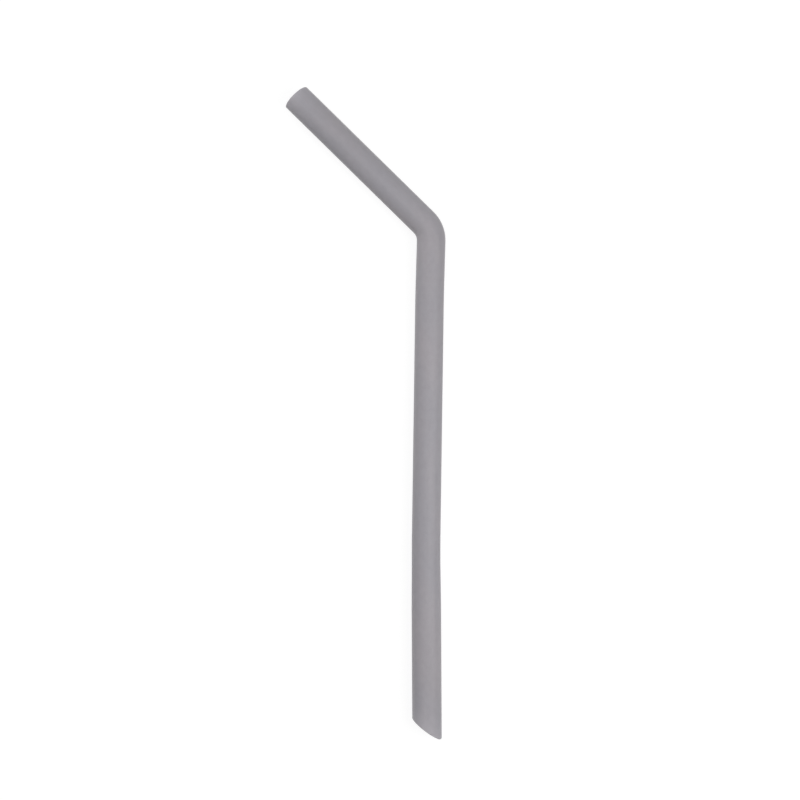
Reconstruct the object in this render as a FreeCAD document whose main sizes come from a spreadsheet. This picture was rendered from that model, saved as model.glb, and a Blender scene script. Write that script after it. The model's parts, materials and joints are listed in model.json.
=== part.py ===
import FreeCAD, Part
import math
import os
import Sketcher

# A reusable drinking straw, moulded from silicone rubber in one piece.
#
# It is a soft tube with a bore that is open all the way through. The foot is cut slantwise, so that
# it can't seal against the bottom of a cup. From there the leg runs up, in three straight stretches
# with slight bows between them, to one tight bend, and the arm leads on to the mouth end. The wall
# is thicker on the first stretch above the foot and tapers down to the common wall.
#
# Lengths are in millimetres and angles in degrees. The centreline lies in the XY plane of the body:
# it starts in the middle of the foot's cut, at the body's origin, leads towards +Y and bends off
# towards -X. The finished straw is laid flat on the ground, with its box centred on the origin.

SIZES = [
    ("bore_diameter", 7.5, "the open channel, the same all along"),
    ("wall", 1.25, "thickness of the tube's wall"),
    ("foot_thickening", 0.15, "added to the wall above the foot"),
    ("foot_sleeve_length", 42.4, "first stretch, at the full thickening"),
    ("foot_taper_length", 15.7, "rest of that stretch, where the thickening runs out"),
    ("lower_bow_length", 10.5, "slight bow, along the centreline"),
    ("lower_bow_turn", 1.12, "turned away from the arm's side"),
    ("middle_length", 78.7, "second straight stretch"),
    ("upper_bow_length", 8.7, "slight bow, along the centreline"),
    ("upper_bow_turn", 0.85, "turned away from the arm's side"),
    ("neck_length", 14.4, "third straight stretch, up to the bend"),
    ("bend_radius", 8.8, "radius of the centreline"),
    ("bend_turn", 47.2, "turned from the leg to the arm"),
    ("arm_length", 62.4, "from the bend to the middle of the mouth's cut"),
    ("foot_cut_slant", 35.0, "from a square cut, longer on the outer side of the bend"),
    ("mouth_cut_slant", 2.8, "from a square cut, longer on the inner side of the bend"),
    ("rim_round", 0.3, "radius of the soft edges around both cuts"),
    ("trim_allowance", 2.0, "least length of raw tube that a cut takes off"),
]

BORE_RADIUS = "(Sizes.bore_diameter / 2)"
MID_WALL_RADIUS = "(Sizes.bore_diameter / 2 + Sizes.wall / 2)"
TUBE_RADIUS = "(Sizes.bore_diameter / 2 + Sizes.wall)"
FOOT_RADIUS = "(Sizes.bore_diameter / 2 + Sizes.wall + Sizes.foot_thickening)"
FOOT_LENGTH = "(Sizes.foot_sleeve_length + Sizes.foot_taper_length)"

# How far the raw tube runs past the middle of each cut.
FOOT_OVERRUN = f"({FOOT_RADIUS} * tan(Sizes.foot_cut_slant) + Sizes.trim_allowance)"
MOUTH_OVERRUN = f"({TUBE_RADIUS} * tan(Sizes.mouth_cut_slant) + Sizes.trim_allowance)"

# Headings are counted counterclockwise from +X.
FOOT_HEADING = "90"
MIDDLE_HEADING = f"({FOOT_HEADING} - Sizes.lower_bow_turn)"
NECK_HEADING = f"({MIDDLE_HEADING} - Sizes.upper_bow_turn)"
ARM_HEADING = f"({NECK_HEADING} + Sizes.bend_turn)"
FOOT_CUT_FACING = f"({FOOT_HEADING} + 180 - Sizes.foot_cut_slant)"
MOUTH_CUT_FACING = f"({ARM_HEADING} - Sizes.mouth_cut_slant)"

# The centreline's straight runs, each with its length and heading, and the arcs between them, each
# with its radius and tangent to the runs on both sides.
RUNS = [
    ("foot", f"({FOOT_OVERRUN} + {FOOT_LENGTH})", FOOT_HEADING),
    ("middle", "Sizes.middle_length", MIDDLE_HEADING),
    ("neck", "Sizes.neck_length", NECK_HEADING),
    ("arm", f"(Sizes.arm_length + {MOUTH_OVERRUN})", ARM_HEADING),
]
ARCS = [
    ("lower_bow", "(Sizes.lower_bow_length / Sizes.lower_bow_turn * 180 / pi)"),
    ("upper_bow", "(Sizes.upper_bow_length / Sizes.upper_bow_turn * 180 / pi)"),
    ("bend", "Sizes.bend_radius"),
]
PIECES = len(RUNS) + len(ARCS)

# How Sketcher numbers things: the two ends of a line or an arc and the middle of a circle count up
# from 1. The sketch's origin is the start of its first own axis, number -1. Its other axis is number
# -2, and the edge that it takes over from another sketch is number -3.
START, END, CENTRE = range(1, 4)
ORIGIN = (-1, START)
TAKEN_EDGE = ORIGIN[0] - 2

# Each end's cut: the centreline's piece there and its inner end, how far from that end the middle of
# the cut lies, the tube's radius, how far the raw tube runs on, and the heading the cut looks in.
CUTS = [
    ("foot_cut", 0, END, FOOT_LENGTH, FOOT_RADIUS, FOOT_OVERRUN, FOOT_CUT_FACING),
    (
        "mouth_cut", PIECES - 1, START, "Sizes.arm_length",
        TUBE_RADIUS, MOUTH_OVERRUN, MOUTH_CUT_FACING,
    ),
]

UP = FreeCAD.Vector(0, 0, 1)


# ---- sizes and sketches ------------------------------------------------------------------------


def make_sheet(doc):
    """The driving dimensions: each row has a size's name, its value and what it is."""
    sheet = doc.addObject("Spreadsheet::Sheet", "Sizes")
    for row, (alias, value, meaning) in enumerate(SIZES, start=1):
        sheet.set(f"A{row}", alias)
        sheet.set(f"B{row}", str(value))
        sheet.set(f"C{row}", meaning)
        sheet.setAlias(f"B{row}", alias)
    doc.recompute()


def present(thing, formula):
    """What a formula comes to now, as a plain number."""
    value = thing.evalExpression(formula)
    return float(getattr(value, "Value", value))


def towards(heading):
    """The unit vector with a heading in degrees."""
    angle = math.radians(heading)
    return FreeCAD.Vector(math.cos(angle), math.sin(angle), 0)


def add_sketch(body, name, plane):
    """A sketch on one of the body's own origin planes."""
    sketch = body.newObject("Sketcher::SketchObject", name)
    planes = {feature.Role: feature for feature in body.Origin.OriginFeatures}
    sketch.AttachmentSupport = [(planes[plane], "")]
    sketch.MapMode = "FlatFace"
    return sketch


def edge_name(piece):
    """The name of a sketch's edge, from the number of its piece of geometry."""
    return f"Edge{piece + 1}"


def tie(sketch, name, formula, kind, *elements):
    """A dimension of a sketch, tied to a formula of the sheet's sizes."""
    value = present(sketch, formula)
    if kind == "Angle":
        value = math.radians(value)
    index = sketch.addConstraint(Sketcher.Constraint(kind, *elements, value))
    sketch.renameConstraint(index, name)
    sketch.setExpression(f"Constraints.{name}", formula)


def draw_loop(sketch, corners):
    """A closed loop of straight sides, numbered from 0, each from its own corner to the next."""
    following = corners[1:] + corners[:1]
    for corner, next_corner in zip(corners, following):
        sketch.addGeometry(Part.LineSegment(corner, next_corner))
    for side in range(len(corners)):
        next_side = (side + 1) % len(corners)
        sketch.addConstraint(Sketcher.Constraint("Coincident", side, END, next_side, START))


# ---- the centreline ----------------------------------------------------------------------------


def draw_centreline(body):
    """The runs and the arcs in turn, from the raw end below the foot to the raw end at the mouth."""
    sketch = add_sketch(body, "centreline", "XY_Plane")
    point = towards(present(sketch, FOOT_HEADING)) * -present(sketch, FOOT_OVERRUN)
    heading = None
    ways_in = []
    ways_out = []
    for order, (_, length, run_heading) in enumerate(RUNS):
        last_heading, heading = heading, present(sketch, run_heading)
        if order:
            turn = heading - last_heading
            left = turn > 0
            spoke = last_heading - 90 if left else last_heading + 90
            radius = present(sketch, ARCS[order - 1][1])
            centre = point - towards(spoke) * radius
            ends = sorted([math.radians(spoke), math.radians(spoke + turn)])
            sketch.addGeometry(Part.ArcOfCircle(Part.Circle(centre, UP, radius), *ends))
            point = centre + towards(spoke + turn) * radius
            # an arc's ends are counted counterclockwise, so a right turn goes in at its second end
            ways_in.append(START if left else END)
            ways_out.append(END if left else START)
        run_end = point + towards(heading) * present(sketch, length)
        sketch.addGeometry(Part.LineSegment(point, run_end))
        ways_in.append(START)
        ways_out.append(END)
        point = run_end

    for piece in range(len(ways_in) - 1):
        joint = (piece, ways_out[piece], piece + 1, ways_in[piece + 1])
        sketch.addConstraint(Sketcher.Constraint("Tangent", *joint))
    sketch.addConstraint(Sketcher.Constraint("Vertical", 0, START, *ORIGIN))
    tie(sketch, "raw_end", FOOT_OVERRUN, "DistanceY", 0, START, *ORIGIN)
    for order, (name, length, run_heading) in enumerate(RUNS):
        tie(sketch, f"{name}_run", length, "Distance", 2 * order)
        tie(sketch, f"{name}_heading", run_heading, "Angle", 2 * order)
    for order, (name, radius) in enumerate(ARCS):
        tie(sketch, f"{name}_radius", radius, "Radius", 2 * order + 1)
    return sketch


# ---- the tube ----------------------------------------------------------------------------------


def sweep_tube(body, centreline):
    """The wall: a ring carried along the whole centreline, which leaves the bore open."""
    ring = add_sketch(body, "tube_section", "XZ_Plane")
    ring.setExpression("AttachmentOffset.Base.z", FOOT_OVERRUN)
    for order, (name, radius) in enumerate([("outside", TUBE_RADIUS), ("bore", BORE_RADIUS)]):
        ring.addGeometry(Part.Circle(FreeCAD.Vector(), UP, present(ring, radius)))
        ring.addConstraint(Sketcher.Constraint("Coincident", order, CENTRE, *ORIGIN))
        tie(ring, f"{name}_radius", radius, "Radius", order)

    tube = body.newObject("PartDesign::AdditivePipe", "tube")
    tube.Profile = ring
    tube.Spine = (centreline, [edge_name(piece) for piece in range(PIECES)])


def thicken_foot(body):
    """The thicker wall above the foot: a sleeve turned about the foot's axis, tapered at its top."""
    sketch = add_sketch(body, "foot_sleeve_section", "XY_Plane")
    inside = present(sketch, MID_WALL_RADIUS)
    outside = present(sketch, FOOT_RADIUS)
    raw_end = -present(sketch, FOOT_OVERRUN)
    taper_start = present(sketch, "Sizes.foot_sleeve_length")
    taper_end = present(sketch, FOOT_LENGTH)
    corners = [
        FreeCAD.Vector(inside, raw_end),
        FreeCAD.Vector(outside, raw_end),
        FreeCAD.Vector(outside, taper_start),
        FreeCAD.Vector(present(sketch, TUBE_RADIUS), taper_end),
        FreeCAD.Vector(inside, taper_end),
    ]
    draw_loop(sketch, corners)
    base, sleeve_side, _, top, inner_side = range(len(corners))
    sketch.addConstraint(Sketcher.Constraint("Horizontal", base))
    sketch.addConstraint(Sketcher.Constraint("Horizontal", top))
    sketch.addConstraint(Sketcher.Constraint("Vertical", sleeve_side))
    sketch.addConstraint(Sketcher.Constraint("Vertical", inner_side))
    tie(sketch, "inner_radius", MID_WALL_RADIUS, "DistanceX", *ORIGIN, base, START)
    tie(sketch, "foot_radius", FOOT_RADIUS, "DistanceX", *ORIGIN, base, END)
    tie(sketch, "top_radius", TUBE_RADIUS, "DistanceX", *ORIGIN, top, START)
    tie(sketch, "raw_end", FOOT_OVERRUN, "DistanceY", base, START, *ORIGIN)
    tie(sketch, "taper_start", "Sizes.foot_sleeve_length", "DistanceY", *ORIGIN, sleeve_side, END)
    tie(sketch, "taper_end", FOOT_LENGTH, "DistanceY", *ORIGIN, top, START)

    sleeve = body.newObject("PartDesign::Revolution", "foot_sleeve")
    sleeve.Profile = sketch
    sleeve.ReferenceAxis = (sketch, ["V_Axis"])
    sleeve.Angle = 360


# ---- the cuts and their edges ------------------------------------------------------------------


def cut_end(body, centreline, cut):
    """Trims a raw end of the tube with a block whose side 0 is the cut. Returns the feature."""
    name, piece, inner_end, length, radius, overrun, facing = cut
    sketch = add_sketch(body, f"{name}_block", "XY_Plane")
    sketch.addExternal(centreline.Name, edge_name(piece))
    run = centreline.Geometry[piece]
    inner, outer = run.StartPoint, run.EndPoint
    if inner_end == END:
        inner, outer = outer, inner
    middle = inner + (outer - inner).normalize() * present(sketch, length)
    half_width = f"({radius} + {overrun})"
    depth = f"(2 * {overrun})"
    across = towards(present(sketch, facing) + 90) * present(sketch, half_width)
    away = towards(present(sketch, facing)) * present(sketch, depth)
    draw_loop(sketch, [middle + across, middle - across, middle - across + away, middle + across + away])
    for side in range(3):
        sketch.addConstraint(Sketcher.Constraint("Perpendicular", side, side + 1))

    mark = sketch.addGeometry(Part.Point(middle))
    sketch.addConstraint(Sketcher.Constraint("PointOnObject", mark, START, TAKEN_EDGE))
    sketch.addConstraint(Sketcher.Constraint("Symmetric", 0, START, 0, END, mark, START))
    tie(sketch, "length", length, "Distance", TAKEN_EDGE, inner_end, mark, START)
    tie(sketch, "width", f"(2 * {half_width})", "Distance", 0)
    tie(sketch, "depth", depth, "Distance", 1)
    tie(sketch, "facing", facing, "Angle", 1)

    block = body.newObject("PartDesign::Pocket", name)
    block.Profile = sketch
    block.Midplane = True
    block.setExpression("Length", f"(2 * {radius} + 2 * Sizes.trim_allowance)")
    return block


def soften_rims(body, trimmed):
    """Rounds the outer edge and the bore's edge of both cut faces, the only flat ones."""
    cut_faces = [face for face in trimmed.Shape.Faces if isinstance(face.Surface, Part.Plane)]
    rims = [rim for face in cut_faces for rim in face.Edges]
    names = [
        f"Edge{number}"
        for number, edge in enumerate(trimmed.Shape.Edges, start=1)
        if any(edge.isSame(rim) for rim in rims)
    ]
    rounds = body.newObject("PartDesign::Fillet", "rim_rounds")
    rounds.Base = (trimmed, names)
    rounds.setExpression("Radius", "min(Sizes.rim_round; Sizes.wall / 3)")


# ---- the straw ---------------------------------------------------------------------------------


def trimmed_volume(body):
    """What the straw holds before its edges are rounded: its sections times their lengths.

    A slanted cut through the middle of the tube leaves as much of it as a square one would.
    """
    bore, tube, foot = (present(body, radius) for radius in (BORE_RADIUS, TUBE_RADIUS, FOOT_RADIUS))
    bows = present(body, "Sizes.lower_bow_length + Sizes.upper_bow_length")
    bend = present(body, "Sizes.bend_radius * Sizes.bend_turn * pi / 180")
    runs = present(body, f"{FOOT_LENGTH} + Sizes.middle_length + Sizes.neck_length + Sizes.arm_length")
    sleeve = present(body, "Sizes.foot_sleeve_length") * (foot**2 - tube**2)
    taper = present(body, "Sizes.foot_taper_length") * (foot**2 + foot * tube - 2 * tube**2) / 3
    return math.pi * ((runs + bows + bend) * (tube**2 - bore**2) + sleeve + taper)


def make_straw(doc):
    """The whole straw as one body, laid flat on the ground with its box centred on the origin."""
    body = doc.addObject("PartDesign::Body", "straw")
    body.Label = "straw"
    centreline = draw_centreline(body)
    doc.recompute()
    sweep_tube(body, centreline)
    thicken_foot(body)
    for cut in CUTS:
        trimmed = cut_end(body, centreline, cut)
    doc.recompute()
    if abs(body.Shape.Volume / trimmed_volume(body) - 1) > 0.001:
        raise RuntimeError("the trimmed tube hasn't the volume of its sections and lengths")
    soften_rims(body, trimmed)
    doc.recompute()

    box = body.Shape.optimalBoundingBox()
    body.Placement.Base = FreeCAD.Vector(-box.Center.x, -box.Center.y, -box.ZMin)
    doc.recompute()
    return body


def check(doc, body):
    """Stops before anything is written if a feature has failed or the body isn't a sound solid."""
    for item in doc.Objects:
        if "Invalid" in item.State or "Error" in item.State:
            raise RuntimeError(f"{item.Label} failed: {item.State}")
    if body.Shape.isNull() or not body.Shape.isValid():
        raise RuntimeError(f"{body.Label} has no sound shape")


doc = FreeCAD.newDocument("straw")
make_sheet(doc)
straw = make_straw(doc)
check(doc, straw)
os.makedirs("parts", exist_ok=True)
straw.Shape.exportStep(f"parts/{straw.Label}.step")

box = straw.Shape.optimalBoundingBox()
sides = " x ".join(f"{side:.2f}" for side in (box.XLength, box.YLength, box.ZLength))
print(f"{straw.Label}: {straw.Shape.Volume:.1f} cubic mm in a box of {sides} mm")
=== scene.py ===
import json
import math

import bpy
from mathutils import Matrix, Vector


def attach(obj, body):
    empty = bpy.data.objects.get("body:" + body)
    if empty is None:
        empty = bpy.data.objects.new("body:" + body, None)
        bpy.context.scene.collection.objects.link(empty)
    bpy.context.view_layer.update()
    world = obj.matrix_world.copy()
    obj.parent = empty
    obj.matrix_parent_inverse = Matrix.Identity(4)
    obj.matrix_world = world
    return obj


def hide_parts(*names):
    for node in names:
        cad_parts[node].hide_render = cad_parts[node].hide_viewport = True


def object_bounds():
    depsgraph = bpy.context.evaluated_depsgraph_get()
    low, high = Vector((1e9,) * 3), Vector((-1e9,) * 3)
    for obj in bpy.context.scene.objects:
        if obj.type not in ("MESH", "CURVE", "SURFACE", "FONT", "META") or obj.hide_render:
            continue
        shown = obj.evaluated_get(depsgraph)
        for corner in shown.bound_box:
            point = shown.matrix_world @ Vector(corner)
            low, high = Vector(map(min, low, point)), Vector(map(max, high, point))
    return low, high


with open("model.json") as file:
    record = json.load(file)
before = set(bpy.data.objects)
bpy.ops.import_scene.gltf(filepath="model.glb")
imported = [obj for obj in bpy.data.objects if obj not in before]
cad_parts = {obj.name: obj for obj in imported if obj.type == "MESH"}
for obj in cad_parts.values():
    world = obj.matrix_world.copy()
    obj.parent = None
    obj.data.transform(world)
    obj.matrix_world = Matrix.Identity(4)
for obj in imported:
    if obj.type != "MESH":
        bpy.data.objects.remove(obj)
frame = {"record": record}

cad_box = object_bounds()


# ---- The straw -------------------------------------------------------------------------------------
#
# One piece of soft grey silicone rubber, a tube moulded round a bent core and pulled off it once it
# has set. Both ends are trimmed with a blade, the foot slantwise and the mouth almost square, and
# their rims are left soft. The outside has the fine matt grain of the mould.

# Where the foot's cut crosses the middle line, and the radii of the bore and of the thicker foot.
mounts = {mount["name"]: mount for mount in frame["record"]["mounts"]}
foot = Vector(mounts["foot_bore"]["pos_m"])
bore_radius = mounts["foot_bore"]["dims"]["r_mm"] / 1000
foot_radius = mounts["leg_outside"]["dims"]["r_mm"] / 1000

# The straight stretches of the middle line, from the foot to the mouth: the length of each, and its
# heading in degrees, counted counterclockwise from +X. The line turns between them on these radii,
# and it runs on a little past both cuts.
stretches = [(0.0581, 90.0), (0.0787, 88.88), (0.0144, 88.03), (0.0624, 135.23)]
turn_radii = [0.537, 0.586, 0.0088]
spare_end = 0.006

# The wall, how far the thicker stretch runs up from the foot, how far it then takes to thin out, and
# the roundness of the rims.
wall = 0.00125
sleeve_length = 0.0424
taper_length = 0.0157
rim_round = 0.0003

# How far each cut slants from square, how much of the tube behind it gives way to the slant, and how
# far the blunted tip of the foot reaches past the middle of its cut.
foot_slant = math.radians(35.5)
mouth_slant = math.radians(2.8)
slant_reach = 0.024
foot_reach = 0.00305

# How finely the surface is divided: the distance between points along the straw, the points around
# it, and the points that round a corner of the middle line and of the wall's section.
step = 0.0008
points_around = 72
points_per_bend = 32
points_per_rim = 6

directions = [Vector((math.cos(math.radians(h)), math.sin(math.radians(h)), 0)) for _, h in stretches]
turns = [math.radians(abs(b - a)) for (_, a), (_, b) in zip(stretches, stretches[1:])]
setbacks = [0.0] + [radius * math.tan(turn / 2) for radius, turn in zip(turn_radii, turns)] + [0.0]
straw_length = sum(length for length, _ in stretches) + sum(
    radius * turn for radius, turn in zip(turn_radii, turns)
)

corners = [foot - directions[0] * spare_end]
reached = foot
for (length, _), direction, before, after in zip(stretches, directions, setbacks, setbacks[1:]):
    reached = reached + direction * (before + length + after)
    corners.append(reached)
corners[-1] = corners[-1] + directions[-1] * spare_end

route = bpy.data.meshes.new("straw_route")
route.from_pydata(corners, [(k, k + 1) for k in range(len(corners) - 1)], [])
corner_radius = route.attributes.new("corner_radius", "FLOAT", "POINT")
corner_radius.data.foreach_set("value", [0.0, *turn_radii, 0.0])


def put(tree, kind, feeds=None, **settings):
    """A new node: settings are its own choices, and feeds gives its inputs a value or a link each."""
    node = tree.nodes.new(kind)
    for name, value in settings.items():
        setattr(node, name, value)
    for socket, feed in (feeds or {}).items():
        if isinstance(feed, bpy.types.NodeSocket):
            tree.links.new(feed, node.inputs[socket])
        else:
            node.inputs[socket].default_value = feed
    return node


def work_out(tree, operation, *terms):
    """The result of one step of arithmetic on values or links."""
    return put(tree, "ShaderNodeMath", dict(enumerate(terms)), operation=operation).outputs[0]


def fade(tree, value, start, end, first, last):
    """Goes evenly from first to last while the value goes from start to end, and stays there."""
    feeds = {0: value, 1: start, 2: end, 3: first, 4: last}
    return put(tree, "ShaderNodeMapRange", feeds).outputs[0]


# The tube as a rule: a section through the wall, a rectangle with rounded corners as long as the
# straw, is carried once around, sheared at both ends to the slant of the cuts, and then laid along
# the middle line.
tube = bpy.data.node_groups.new("moulded_tube", "GeometryNodeTree")
tube.interface.new_socket("Route", in_out="INPUT", socket_type="NodeSocketGeometry")
for name in (
    "Length", "Spare End", "Bore Radius", "Wall", "Foot Thickening", "Sleeve Length", "Taper Length",
    "Foot Slant", "Mouth Slant", "Slant Reach", "Foot Reach", "Rim Round", "Step",
):
    tube.interface.new_socket(name, in_out="INPUT", socket_type="NodeSocketFloat")
tube.interface.new_socket("Around", in_out="INPUT", socket_type="NodeSocketInt")
for name in ("Outside", "Bore", "Cut"):
    tube.interface.new_socket(name, in_out="INPUT", socket_type="NodeSocketMaterial")
tube.interface.new_socket("Straw", in_out="OUTPUT", socket_type="NodeSocketGeometry")
given = tube.nodes.new("NodeGroupInput").outputs

# the middle line, with its corners rounded
line = put(tube, "GeometryNodeMeshToCurve", {"Mesh": given["Route"]}).outputs["Curve"]
radius = put(tube, "GeometryNodeInputNamedAttribute", {"Name": "corner_radius"}, data_type="FLOAT")
middle_line = put(
    tube,
    "GeometryNodeFilletCurve",
    {"Curve": line, "Radius": radius.outputs["Attribute"], "Count": points_per_bend},
    mode="POLY",
).outputs["Curve"]

# the section through the wall, with points about a step apart on its long sides
section = put(
    tube,
    "GeometryNodeCurvePrimitiveQuadrilateral",
    {"Width": given["Length"], "Height": given["Wall"]},
    mode="RECTANGLE",
).outputs["Curve"]
section = put(
    tube,
    "GeometryNodeFilletCurve",
    {"Curve": section, "Radius": given["Rim Round"], "Count": points_per_rim},
    mode="POLY",
).outputs["Curve"]
position = put(tube, "GeometryNodeInputPosition").outputs[0]
following = put(tube, "GeometryNodeOffsetPointInCurve", {"Offset": 1}).outputs["Point Index"]
next_position = put(
    tube,
    "GeometryNodeFieldAtIndex",
    {"Value": position, "Index": following},
    data_type="FLOAT_VECTOR",
    domain="POINT",
).outputs[0]
side = put(tube, "ShaderNodeVectorMath", {0: position, 1: next_position}, operation="DISTANCE")
cuts = work_out(tube, "DIVIDE", side.outputs["Value"], given["Step"])
section = put(tube, "GeometryNodeSubdivideCurve", {"Curve": section, "Cuts": cuts}).outputs["Curve"]
keep_place = put(tube, "GeometryNodeCaptureAttribute", domain="POINT")
keep_place.capture_items.new("VECTOR", "Place")
tube.links.new(section, keep_place.inputs["Geometry"])
tube.links.new(position, keep_place.inputs["Place"])

# once around
ring = put(tube, "GeometryNodeCurvePrimitiveCircle", {"Resolution": given["Around"]}, mode="RADIUS")
keep_turn = put(tube, "GeometryNodeCaptureAttribute", domain="POINT")
keep_turn.capture_items.new("INT", "Turn")
tube.links.new(ring.outputs["Curve"], keep_turn.inputs["Geometry"])
tube.links.new(put(tube, "GeometryNodeInputIndex").outputs[0], keep_turn.inputs["Turn"])
shell = put(
    tube,
    "GeometryNodeCurveToMesh",
    {"Curve": keep_turn.outputs["Geometry"], "Profile Curve": keep_place.outputs["Geometry"]},
).outputs["Mesh"]

# each point's distance from the foot, depth in the wall, and angle
place = put(tube, "ShaderNodeSeparateXYZ", {0: keep_place.outputs["Place"]}).outputs
half_length = work_out(tube, "MULTIPLY", given["Length"], 0.5)
half_wall = work_out(tube, "MULTIPLY", given["Wall"], 0.5)
along = work_out(tube, "ADD", place["X"], half_length)
depth = work_out(tube, "ADD", place["Y"], half_wall)
turn_size = work_out(tube, "DIVIDE", math.tau, given["Around"])
angle = work_out(tube, "MULTIPLY", keep_turn.outputs["Turn"], turn_size)

# the wall is thicker above the foot
taper_end = work_out(tube, "ADD", given["Sleeve Length"], given["Taper Length"])
share = fade(tube, along, given["Sleeve Length"], taper_end, 1.0, 0.0)
thickening = work_out(tube, "DIVIDE", given["Foot Thickening"], given["Wall"])
thickness = work_out(tube, "MULTIPLY_ADD", thickening, share, 1.0)
from_axis = work_out(tube, "MULTIPLY_ADD", depth, thickness, given["Bore Radius"])
outward = work_out(tube, "MULTIPLY", from_axis, work_out(tube, "COSINE", angle))
upward = work_out(tube, "MULTIPLY", from_axis, work_out(tube, "SINE", angle))

# the slants of both cuts, which fade out within the straight tube behind them, and the blunted tip
slant_from = work_out(tube, "SUBTRACT", given["Length"], given["Slant Reach"])
foot_share = fade(tube, along, 0.0, given["Slant Reach"], 1.0, 0.0)
mouth_share = fade(tube, along, slant_from, given["Length"], 0.0, 1.0)
foot_slope = work_out(tube, "MULTIPLY", work_out(tube, "TANGENT", given["Foot Slant"]), foot_share)
mouth_slope = work_out(tube, "MULTIPLY", work_out(tube, "TANGENT", given["Mouth Slant"]), mouth_share)
slope = work_out(tube, "ADD", foot_slope, mouth_slope)
slanted = work_out(tube, "SUBTRACT", along, work_out(tube, "MULTIPLY", outward, slope))
tip = work_out(tube, "MULTIPLY", given["Foot Reach"], -1.0)
slanted = work_out(tube, "SMOOTH_MAX", slanted, tip, given["Rim Round"])

# laid along the middle line, after noting each point's place on the plain straight tube
unbent = put(tube, "ShaderNodeCombineXYZ", {"X": outward, "Y": along, "Z": upward}).outputs[0]
shell = put(
    tube,
    "GeometryNodeStoreNamedAttribute",
    {"Geometry": shell, "Name": "unbent", "Value": unbent},
    data_type="FLOAT_VECTOR",
    domain="POINT",
).outputs["Geometry"]
on_line = put(
    tube,
    "GeometryNodeSampleCurve",
    {"Curves": middle_line, "Length": work_out(tube, "ADD", slanted, given["Spare End"])},
    mode="LENGTH",
)
aside = put(
    tube,
    "ShaderNodeVectorMath",
    {0: on_line.outputs["Tangent"], 1: (0.0, 0.0, 1.0)},
    operation="CROSS_PRODUCT",
).outputs[0]
aside = put(tube, "ShaderNodeVectorMath", {0: aside}, operation="NORMALIZE").outputs[0]
moved = put(
    tube,
    "ShaderNodeVectorMath",
    {0: aside, 1: outward, 2: on_line.outputs["Position"]},
    operation="MULTIPLY_ADD",
).outputs[0]
raised = put(tube, "ShaderNodeCombineXYZ", {"Z": upward}).outputs[0]
bent = put(tube, "ShaderNodeVectorMath", {0: moved, 1: raised}, operation="ADD").outputs[0]
shell = put(tube, "GeometryNodeSetPosition", {"Geometry": shell, "Position": bent}).outputs["Geometry"]
shell = put(tube, "GeometryNodeFlipFaces", {"Mesh": shell}).outputs["Mesh"]
shell = put(tube, "GeometryNodeSetShadeSmooth", {"Geometry": shell}).outputs["Geometry"]

# one finish for the outside and one for the bore, each with its rims, and one for the trimmed faces
outer_edge = work_out(tube, "SUBTRACT", given["Wall"], given["Rim Round"])
is_outside = work_out(tube, "GREATER_THAN", depth, outer_edge)
is_bore = work_out(tube, "LESS_THAN", depth, given["Rim Round"])
shell = put(tube, "GeometryNodeRealizeInstances", {"Geometry": shell}).outputs["Geometry"]
for selection, name in ((None, "Cut"), (is_outside, "Outside"), (is_bore, "Bore")):
    feeds = {"Geometry": shell, "Material": given[name]}
    if selection:
        feeds["Selection"] = selection
    shell = put(tube, "GeometryNodeSetMaterial", feeds).outputs["Geometry"]
put(tube, "NodeGroupOutput", {"Straw": shell})

# The silicone's finish: soft clouds of lighter and darker grey in the rubber, faint lines drawn along
# the tube as it leaves the core, and the grain of the mould. Beside these it holds painted light: the
# light that the open ends let into the wall is painted into the colour as a lighter grey near both
# ends.
# Every pattern lies on the unbent tube, so it follows the bend.
finish = bpy.data.node_groups.new("silicone_finish_and_painted_end_light", "ShaderNodeTree")
for name, kind in (
    ("Place", "NodeSocketVector"), ("Base", "NodeSocketColor"), ("Tint", "NodeSocketColor"),
    ("Cloud Strength", "NodeSocketFloat"), ("Line Strength", "NodeSocketFloat"),
    ("Grain Size", "NodeSocketFloat"), ("Grain Strength", "NodeSocketFloat"),
    ("Paleness", "NodeSocketFloat"), ("Roughness", "NodeSocketFloat"),
):
    finish.interface.new_socket(name, in_out="INPUT", socket_type=kind)
for name, kind in (
    ("Color", "NodeSocketColor"), ("Roughness", "NodeSocketFloat"), ("Height", "NodeSocketFloat"),
):
    finish.interface.new_socket(name, in_out="OUTPUT", socket_type=kind)
asked = finish.nodes.new("NodeGroupInput").outputs


def noise(size, stretch, detail):
    """Noise about 0, with spots of this size in metres, drawn out along the tube."""
    feeds = {"Vector": asked["Place"], "Scale": (1.0, 1.0 / stretch, 1.0)}
    laid = put(finish, "ShaderNodeMapping", feeds).outputs["Vector"]
    scale = work_out(finish, "DIVIDE", 1.0, size)
    feeds = {"Vector": laid, "Scale": scale, "Detail": detail}
    return work_out(finish, "SUBTRACT", put(finish, "ShaderNodeTexNoise", feeds).outputs["Fac"], 0.5)


clouds = noise(size=0.009, stretch=3.0, detail=3.0)
mottles = noise(size=0.0016, stretch=1.5, detail=2.0)
lines = noise(size=0.0007, stretch=60.0, detail=1.0)
grain = noise(size=asked["Grain Size"], stretch=1.0, detail=2.0)

# the painted light near the ends, a lighter grey for the light that enters the open ends, which halves
# over each such length of tube
halving_length = 0.0033
along_tube = put(finish, "ShaderNodeSeparateXYZ", {0: asked["Place"]}).outputs["Y"]
from_mouth = work_out(finish, "SUBTRACT", straw_length, along_tube)
from_end = work_out(finish, "MINIMUM", along_tube, from_mouth)
halvings = work_out(finish, "DIVIDE", from_end, halving_length)
end_light_paint = work_out(finish, "MULTIPLY", work_out(finish, "POWER", 0.5, halvings), asked["Paleness"])

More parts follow.
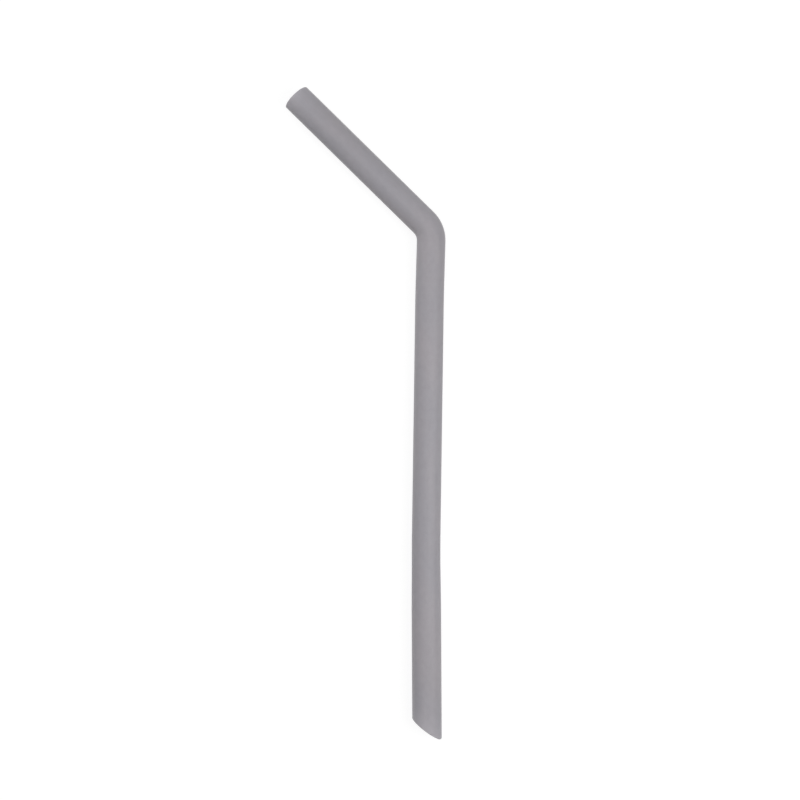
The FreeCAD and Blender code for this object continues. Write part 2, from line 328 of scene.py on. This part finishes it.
# the tint gathers in the clouds, and every pattern lightens or darkens the grey
cloud_spread = 0.15
mottle_shade = 0.7
grain_shade = 0.7
gathered = fade(finish, clouds, -cloud_spread, cloud_spread, 0.0, 1.0)
tinted = put(finish, "ShaderNodeMixRGB", {0: gathered, 1: asked["Base"], 2: asked["Tint"]}).outputs[0]
shade = work_out(finish, "MULTIPLY_ADD", mottles, mottle_shade, clouds)
shade = work_out(finish, "MULTIPLY_ADD", grain, grain_shade, shade)
shade = work_out(finish, "MULTIPLY_ADD", shade, asked["Cloud Strength"], 1.0)
shade = work_out(finish, "MULTIPLY_ADD", lines, asked["Line Strength"], shade)
# the painted light of the open ends lightens the grey near them
shade = work_out(finish, "ADD", shade, end_light_paint)
shaded = put(finish, "ShaderNodeVectorMath", {0: tinted, "Scale": shade}, operation="SCALE").outputs[0]

# the mottles also show a little in the gloss, and in the relief beside the grain and the lines
mottle_roughness = 0.12
mottle_height = 0.25
rough = work_out(finish, "MULTIPLY_ADD", mottles, mottle_roughness, asked["Roughness"])
height = work_out(finish, "MULTIPLY", grain, asked["Grain Strength"])
height = work_out(finish, "MULTIPLY_ADD", lines, asked["Line Strength"], height)
height = work_out(finish, "MULTIPLY_ADD", mottles, mottle_height, height)
put(finish, "NodeGroupOutput", {"Color": shaded, "Roughness": rough, "Height": height})


grey = (0.338, 0.327, 0.354, 1.0)
warm_grey = (0.340, 0.322, 0.344, 1.0)


def silicone(name, bump, **look):
    """A material of the grey silicone; bump is in metres, and look gives the finish its values."""
    material = bpy.data.materials.new(name)
    material.use_nodes = True
    tree = material.node_tree
    place_on_tube = put(tree, "ShaderNodeAttribute", attribute_name="unbent").outputs["Vector"]
    feeds = {"Place": place_on_tube, "Base": grey, "Tint": warm_grey}
    feeds.update({asked_for.replace("_", " ").title(): value for asked_for, value in look.items()})
    surface = put(tree, "ShaderNodeGroup", feeds, node_tree=finish).outputs
    relief = put(tree, "ShaderNodeBump", {"Height": surface["Height"], "Distance": bump})
    shader = tree.nodes["Principled BSDF"]
    tree.links.new(surface["Color"], shader.inputs["Base Color"])
    tree.links.new(surface["Roughness"], shader.inputs["Roughness"])
    tree.links.new(relief.outputs["Normal"], shader.inputs["Normal"])
    shader.inputs["IOR"].default_value = 1.41
    shader.inputs["Specular IOR Level"].default_value = 0.4
    shader.inputs["Subsurface Weight"].default_value = 0.05
    shader.inputs["Subsurface Radius"].default_value = (1.0, 0.95, 0.9)
    shader.inputs["Subsurface Scale"].default_value = 0.0015
    return material


# each material's painted end light is the lighter grey painted near the open ends for the light that
# enters there
outside = silicone(
    "silicone_outside", bump=0.00002, cloud_strength=0.18, line_strength=0.03, grain_size=0.00022,
    grain_strength=0.9, paleness=0.21, roughness=0.4,
)
bore = silicone(
    "silicone_bore", bump=0.00002, cloud_strength=0.08, line_strength=0.16, grain_size=0.0004,
    grain_strength=0.2, paleness=0.25, roughness=0.32,
)
cut = silicone(
    "silicone_cut", bump=0.00003, cloud_strength=0.08, line_strength=0.0, grain_size=0.0003,
    grain_strength=0.3, paleness=0.18, roughness=0.5,
)

straw = bpy.data.objects.new("moulded_straw", route)
bpy.context.scene.collection.objects.link(straw)
modifier = straw.modifiers.new("moulded_tube", "NODES")
modifier.node_group = tube
sizes = {
    "Length": straw_length, "Spare End": spare_end, "Bore Radius": bore_radius, "Wall": wall,
    "Foot Thickening": foot_radius - bore_radius - wall, "Sleeve Length": sleeve_length,
    "Taper Length": taper_length, "Foot Slant": foot_slant, "Mouth Slant": mouth_slant,
    "Slant Reach": slant_reach, "Foot Reach": foot_reach, "Rim Round": rim_round, "Step": step,
    "Around": points_around, "Outside": outside, "Bore": bore, "Cut": cut,
}
for socket in tube.interface.items_tree:
    if socket.in_out == "INPUT" and socket.name in sizes:
        modifier[socket.identifier] = sizes[socket.name]
made = straw.evaluated_get(bpy.context.evaluated_depsgraph_get())
straw.data = bpy.data.meshes.new_from_object(made)
straw.modifiers.clear()

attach(straw, "root")
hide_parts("straw")


# ---- The table, the light and the camera -----------------------------------------------------------
#
# A plain white table top in a bright room. A soft lamp on the right leaves a faint sheen along the
# leg, a weaker one low on the left and one straight above fill the rest, and the camera looks down.

# Half the table top's side, the share of light that it throws back on the straw, and its own glow.
# The glow makes most of the white that is seen, and grows outwards between two distances from the
# middle. The rest is lit, so that the straw keeps its shadow.
reach = 0.6
table_grey = 0.5
glow_share = 0.8
glow_grows_from = 0.12
glow_grows_to = 0.35
glow_in_the_middle = 1.08
glow_outside = 1.2

table_top = bpy.data.meshes.new("table_top")
table_corners = [(-reach, -reach, 0), (reach, -reach, 0), (reach, reach, 0), (-reach, reach, 0)]
table_top.from_pydata(table_corners, [], [(0, 1, 2, 3)])
table = bpy.data.objects.new("table_top", table_top)
bpy.context.scene.collection.objects.link(table)


def seen_directly(tree):
    """1 for what the camera sees, itself or through a reflection or glass, and 0 for bounced light."""
    path = put(tree, "ShaderNodeLightPath").outputs
    mirrored = work_out(tree, "MAXIMUM", path["Is Glossy Ray"], path["Is Transmission Ray"])
    return work_out(tree, "MAXIMUM", path["Is Camera Ray"], mirrored)


white_top = bpy.data.materials.new("white_top")
white_top.use_nodes = True
top = white_top.node_tree
top.nodes.remove(top.nodes["Principled BSDF"])
seen = seen_directly(top)
matt = put(top, "ShaderNodeBsdfDiffuse", {"Color": fade(top, seen, 0.0, 1.0, table_grey, 1.0)})
spot = put(top, "ShaderNodeTexCoord").outputs["Object"]
away = put(top, "ShaderNodeVectorMath", {0: spot}, operation="LENGTH").outputs["Value"]
glow_strength = fade(top, away, glow_grows_from, glow_grows_to, glow_in_the_middle, glow_outside)
glow = put(top, "ShaderNodeEmission", {"Strength": glow_strength})
both = put(
    top,
    "ShaderNodeMixShader",
    {0: work_out(top, "MULTIPLY", seen, glow_share), 1: matt.outputs[0], 2: glow.outputs[0]},
)
top.links.new(both.outputs[0], top.nodes["Material Output"].inputs["Surface"])
table_top.materials.append(white_top)

# The room looks white, and this is the part of it that lights the straw.
room_light = 0.305

room = bpy.data.worlds.new("bright_room")
room.use_nodes = True
bpy.context.scene.world = room
air = room.node_tree
room_strength = fade(air, seen_directly(air), 0.0, 1.0, room_light, 1.0)
air.links.new(room_strength, air.nodes["Background"].inputs["Strength"])
air.nodes["Background"].inputs["Color"].default_value = (1.0, 1.0, 1.0, 1.0)

middle = (cad_box[0] + cad_box[1]) / 2


def soft_lamp(name, bearing, elevation, away, size, power):
    """A square lamp that faces the straw's middle; the bearing is in degrees from +X."""
    lamp = bpy.data.lights.new(name, "AREA")
    lamp.size = size
    lamp.energy = power
    across = math.cos(math.radians(elevation))
    towards = Vector((
        across * math.cos(math.radians(bearing)),
        across * math.sin(math.radians(bearing)),
        math.sin(math.radians(elevation)),
    ))
    stand = bpy.data.objects.new(name, lamp)
    stand.location = middle + towards * away
    stand.rotation_euler = towards.to_track_quat("Z", "Y").to_euler()
    bpy.context.scene.collection.objects.link(stand)


soft_lamp("right_lamp", bearing=-10, elevation=48, away=0.35, size=0.26, power=0.57)
soft_lamp("left_lamp", bearing=135, elevation=20, away=0.7, size=0.5, power=2.06)
soft_lamp("top_lamp", bearing=0, elevation=90, away=0.5, size=0.4, power=0.57)

# The camera looks straight down on the straw and is turned a little, in degrees.
camera_place = (0.01154, 0.00449, 0.3864)
camera_turn = -0.306

camera = bpy.data.cameras.new("camera")
camera.sensor_width = 36.0
camera.lens = 49.11
camera.clip_start = 0.01
camera_stand = bpy.data.objects.new("camera", camera)
camera_stand.location = camera_place
camera_stand.rotation_euler = (0.0, 0.0, math.radians(camera_turn))
bpy.context.scene.collection.objects.link(camera_stand)
bpy.context.scene.camera = camera_stand
bpy.context.scene.view_settings.view_transform = "Standard"
